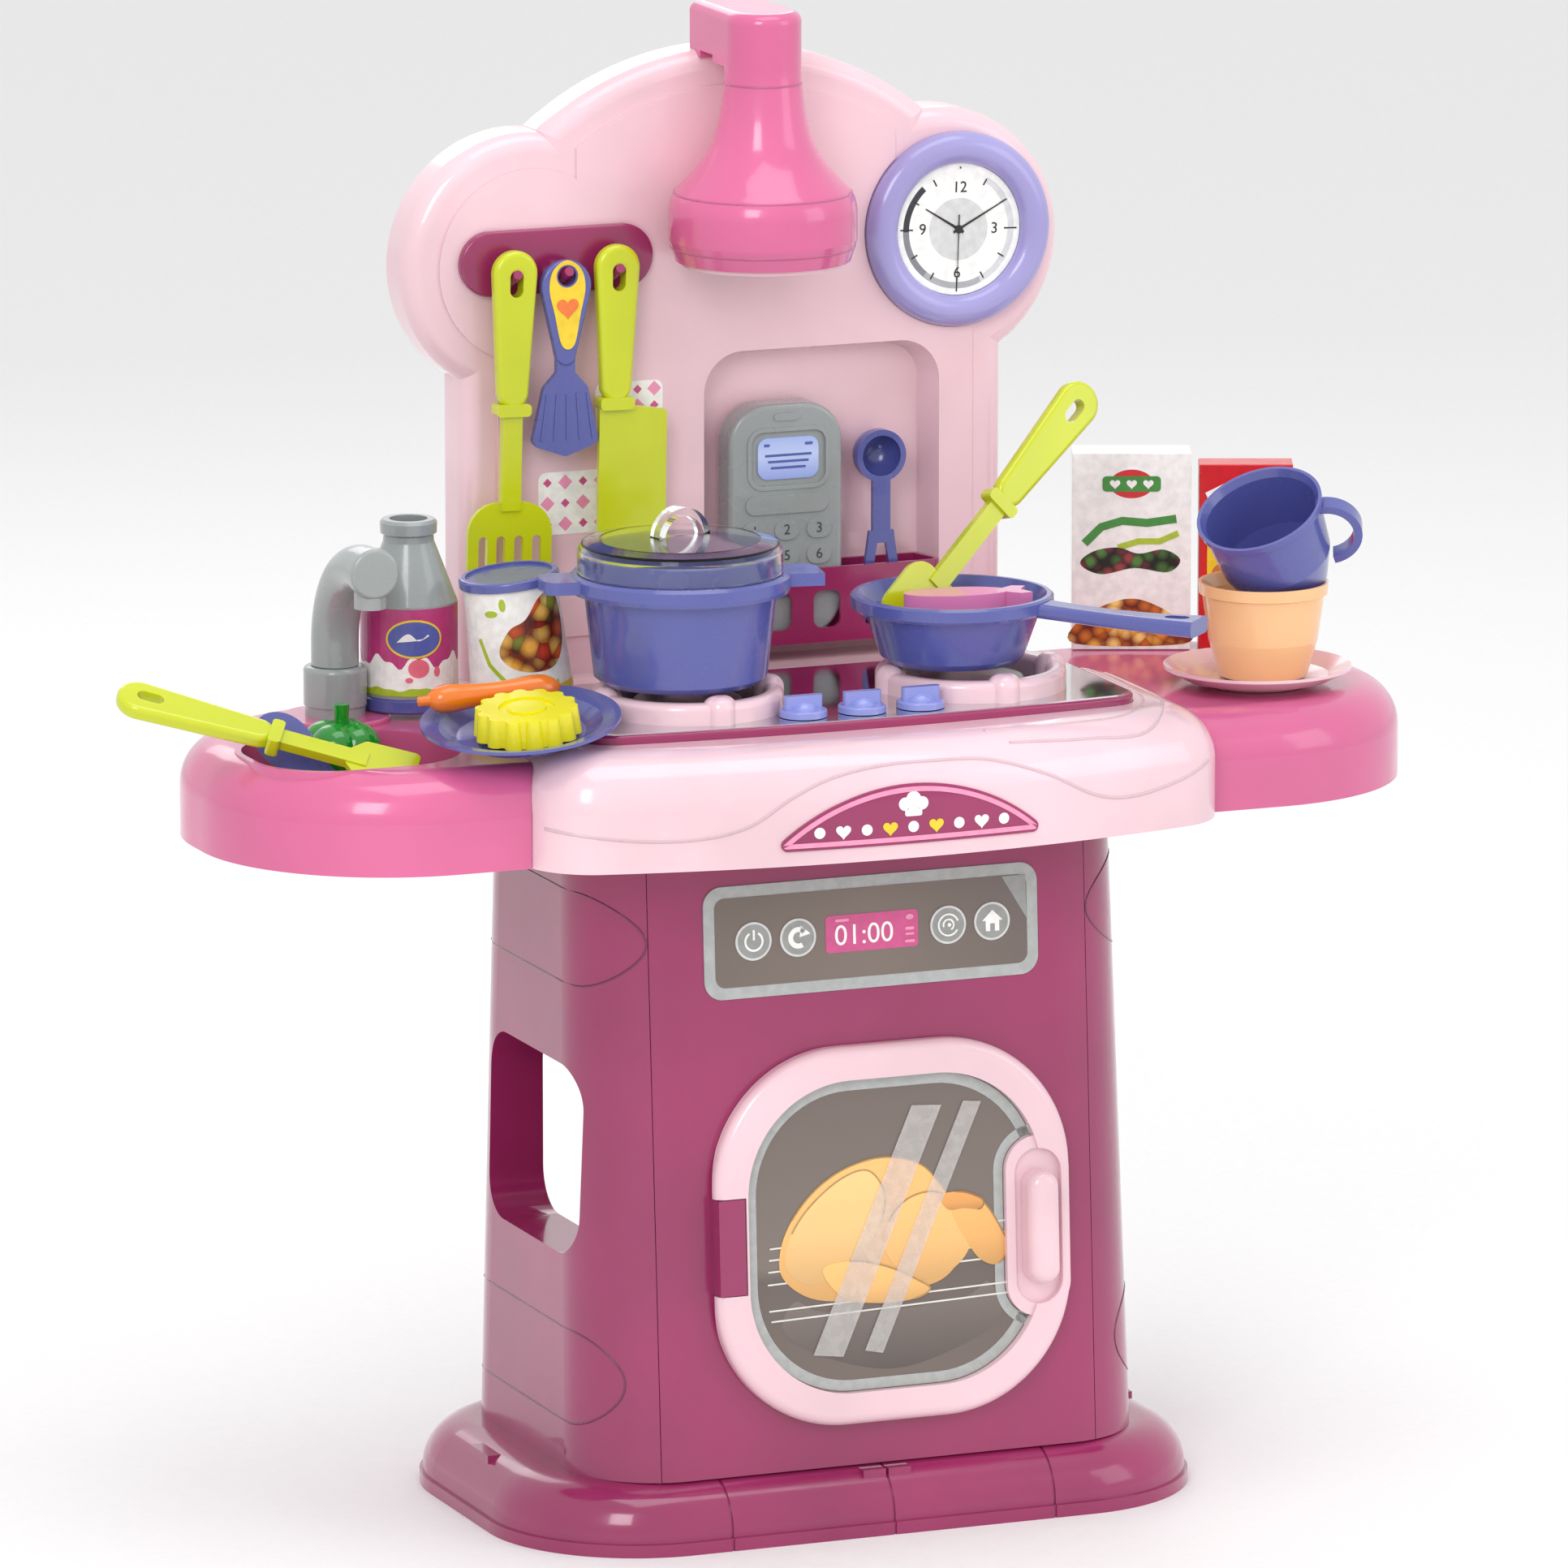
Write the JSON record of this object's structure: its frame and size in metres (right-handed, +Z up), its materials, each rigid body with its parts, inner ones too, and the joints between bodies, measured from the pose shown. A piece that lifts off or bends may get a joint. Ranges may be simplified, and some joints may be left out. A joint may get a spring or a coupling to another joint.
{
  "type": "toy kitchen",
  "caption": "Toy kitchen on a rounded plinth: oven door, wide counter with sink and hob, shaped backsplash with hood, clock and hooks, and loose cookware and play food",
  "frame": {"origin": "on the floor at the centre of the plinth, on the underside of its cross of ribs", "axes": "+X right as seen from the front, front faces -Y, +Z up"},
  "size_m": [0.637, 0.2479, 0.697],
  "materials": {
    "light_pink": "glossy moulded",
    "pink": "glossy moulded",
    "magenta": "glossy moulded",
    "oven_brown": "satin",
    "lilac": "glossy moulded",
    "white_card": "printed card",
    "indigo": "glossy moulded",
    "clear": "clear moulded plastic",
    "lime": "glossy moulded",
    "grey": "glossy moulded",
    "screen": "printed screen",
    "mirror": "foil",
    "print_card": "printed card",
    "peach": "glossy moulded",
    "yellow": "glossy moulded",
    "orange": "glossy moulded",
    "green": "glossy moulded",
    "red_card": "printed card"
  },
  "bodies": {
    "cabinet": {"base_plinth": "magenta", "left_side_panel": "magenta", "right_side_panel": "magenta", "front_panel": "magenta", "oven_liner": "oven_brown", "door_hinge_pin": "magenta", "control_panel": "print_card", "counter_centre": "light_pink", "counter_left_wing": "pink", "counter_right_wing": "pink", "badge_plate": "magenta", "hob_plate": "magenta", "hob_mirror": "mirror", "burner_ring_left": "light_pink", "burner_ring_right": "light_pink", "burner_discs": "oven_brown", "faucet_pad": "pink", "faucet_collar": "grey", "backsplash": "light_pink", "hood_body": "pink", "hood_cap": "pink", "hood_lens": "light_pink", "clock_ring": "lilac", "clock_dial": "white_card", "hook_rail": "magenta", "shelf_rack": "magenta"},
    "oven_door": {"oven_door": "light_pink", "door_handle": "light_pink", "oven_door_card": "print_card"},
    "knob_left": {"knob_left": "lilac"},
    "knob_centre": {"knob_centre": "lilac"},
    "knob_right": {"knob_right": "lilac"},
    "faucet_spout": {"faucet_spout": "grey"},
    "hanging_fork": {"hanging_fork": "lime"},
    "hanging_cleaver": {"hanging_cleaver": "lime"},
    "hanging_spatula": {"hanging_spatula": "indigo"},
    "pot": {"pot": "indigo"},
    "pot_lid": {"pot_lid": "clear"},
    "pan": {"pan": "indigo"},
    "pan_turner": {"pan_turner": "lime"},
    "toy_fish": {"toy_fish": "pink"},
    "plate": {"blue_plate": "indigo"},
    "jelly": {"jelly_cake": "yellow"},
    "carrot": {"carrot": "orange"},
    "bottle": {"milk_bottle": "grey", "bottle_base": "indigo"},
    "can": {"food_can": "white_card", "can_lid": "indigo"},
    "phone": {"phone": "grey", "phone_screen": "screen"},
    "measuring_spoon": {"measuring_spoon": "indigo"},
    "cereal_box": {"cereal_box": "white_card"},
    "biscuit_box": {"biscuit_box": "red_card"},
    "saucer": {"saucer": "light_pink"},
    "cup": {"orange_cup": "peach"},
    "mug": {"blue_mug": "indigo"},
    "sink_turner": {"sink_turner": "lime"},
    "sink_spoon": {"sink_spoon": "indigo"},
    "pepper": {"green_pepper": "green"}
  },
  "joints": [
    {"name": "oven_door_hinge", "type": "hinge", "parent": "cabinet", "child": "oven_door", "pos_m": [-0.079, -0.09627, 0.14108], "axis": [0, -0.0566, -0.9984], "range_deg": [0, 105]},
    {"name": "knob_left_turn", "type": "hinge", "parent": "cabinet", "child": "knob_left", "pos_m": [-0.0295, -0.0715, 0.387], "axis": [0, 0, 1], "continuous": true},
    {"name": "knob_centre_turn", "type": "hinge", "parent": "cabinet", "child": "knob_centre", "pos_m": [0, -0.0715, 0.387], "axis": [0, 0, 1], "continuous": true},
    {"name": "knob_right_turn", "type": "hinge", "parent": "cabinet", "child": "knob_right", "pos_m": [0.0295, -0.0715, 0.387], "axis": [0, 0, 1], "continuous": true},
    {"name": "faucet_swivel", "type": "hinge", "parent": "cabinet", "child": "faucet_spout", "pos_m": [-0.213, 0.058, 0.39], "axis": [0, 0, 1], "range_deg": [-60, 30]},
    {"name": "hanging_fork_off", "type": "slide", "parent": "cabinet", "child": "hanging_fork", "axis": [0, -0.9063, 0.4226], "range_m": [0, 0.018]},
    {"name": "hanging_cleaver_off", "type": "slide", "parent": "cabinet", "child": "hanging_cleaver", "axis": [0, -0.9063, 0.4226], "range_m": [0, 0.018]},
    {"name": "hanging_spatula_off", "type": "slide", "parent": "cabinet", "child": "hanging_spatula", "axis": [0, -0.9063, 0.4226], "range_m": [0, 0.018]},
    {"name": "pot_lift", "type": "slide", "parent": "cabinet", "child": "pot", "axis": [0, 0, 1], "range_m": [0, 0.06]},
    {"name": "pot_lid_lift", "type": "slide", "parent": "pot", "child": "pot_lid", "axis": [0, 0, 1], "range_m": [0, 0.06]},
    {"name": "pan_lift", "type": "slide", "parent": "cabinet", "child": "pan", "axis": [0, 0, 1], "range_m": [0, 0.06]},
    {"name": "pan_turner_lift", "type": "slide", "parent": "pan", "child": "pan_turner", "axis": [0.7201, 0.2577, 0.6443], "range_m": [0, 0.05]},
    {"name": "toy_fish_lift", "type": "slide", "parent": "pan", "child": "toy_fish", "axis": [0, 0, 1], "range_m": [0, 0.05]},
    {"name": "plate_lift", "type": "slide", "parent": "cabinet", "child": "plate", "axis": [0, 0, 1], "range_m": [0, 0.03]},
    {"name": "jelly_lift", "type": "slide", "parent": "plate", "child": "jelly", "axis": [-0.1, -0.12, 0.9877], "range_m": [0, 0.04]},
    {"name": "carrot_lift", "type": "slide", "parent": "plate", "child": "carrot", "axis": [-0.1, -0.12, 0.9877], "range_m": [0, 0.04]},
    {"name": "bottle_lift", "type": "slide", "parent": "cabinet", "child": "bottle", "axis": [0, 0, 1], "range_m": [0, 0.06]},
    {"name": "can_lift", "type": "slide", "parent": "cabinet", "child": "can", "axis": [0.0597, -0.0796, 0.995], "range_m": [0, 0.04]},
    {"name": "phone_lift", "type": "slide", "parent": "cabinet", "child": "phone", "axis": [0, 0, 1], "range_m": [0, 0.02]},
    {"name": "measuring_spoon_lift", "type": "slide", "parent": "cabinet", "child": "measuring_spoon", "axis": [0, 0, 1], "range_m": [0, 0.02]},
    {"name": "cereal_box_lift", "type": "slide", "parent": "cabinet", "child": "cereal_box", "axis": [0, 0, 1], "range_m": [0, 0.06]},
    {"name": "biscuit_box_lift", "type": "slide", "parent": "cabinet", "child": "biscuit_box", "axis": [0, 0, 1], "range_m": [0, 0.06]},
    {"name": "saucer_lift", "type": "slide", "parent": "cabinet", "child": "saucer", "axis": [0, 0, 1], "range_m": [0, 0.06]},
    {"name": "cup_lift", "type": "slide", "parent": "saucer", "child": "cup", "axis": [0, 0, 1], "range_m": [0, 0.04]},
    {"name": "mug_lift", "type": "slide", "parent": "cup", "child": "mug", "axis": [-0.44, -0.29, 0.8499], "range_m": [0, 0.04]},
    {"name": "sink_turner_lift", "type": "slide", "parent": "cabinet", "child": "sink_turner", "axis": [-0.5507, 0.1502, 0.8211], "range_m": [0, 0.04]},
    {"name": "sink_spoon_lift", "type": "slide", "parent": "cabinet", "child": "sink_spoon", "axis": [-0.2981, 0.7454, 0.5963], "range_m": [0, 0.02]},
    {"name": "pepper_lift", "type": "slide", "parent": "cabinet", "child": "pepper", "axis": [0, 0, 1], "range_m": [0, 0.02]}
  ]
}
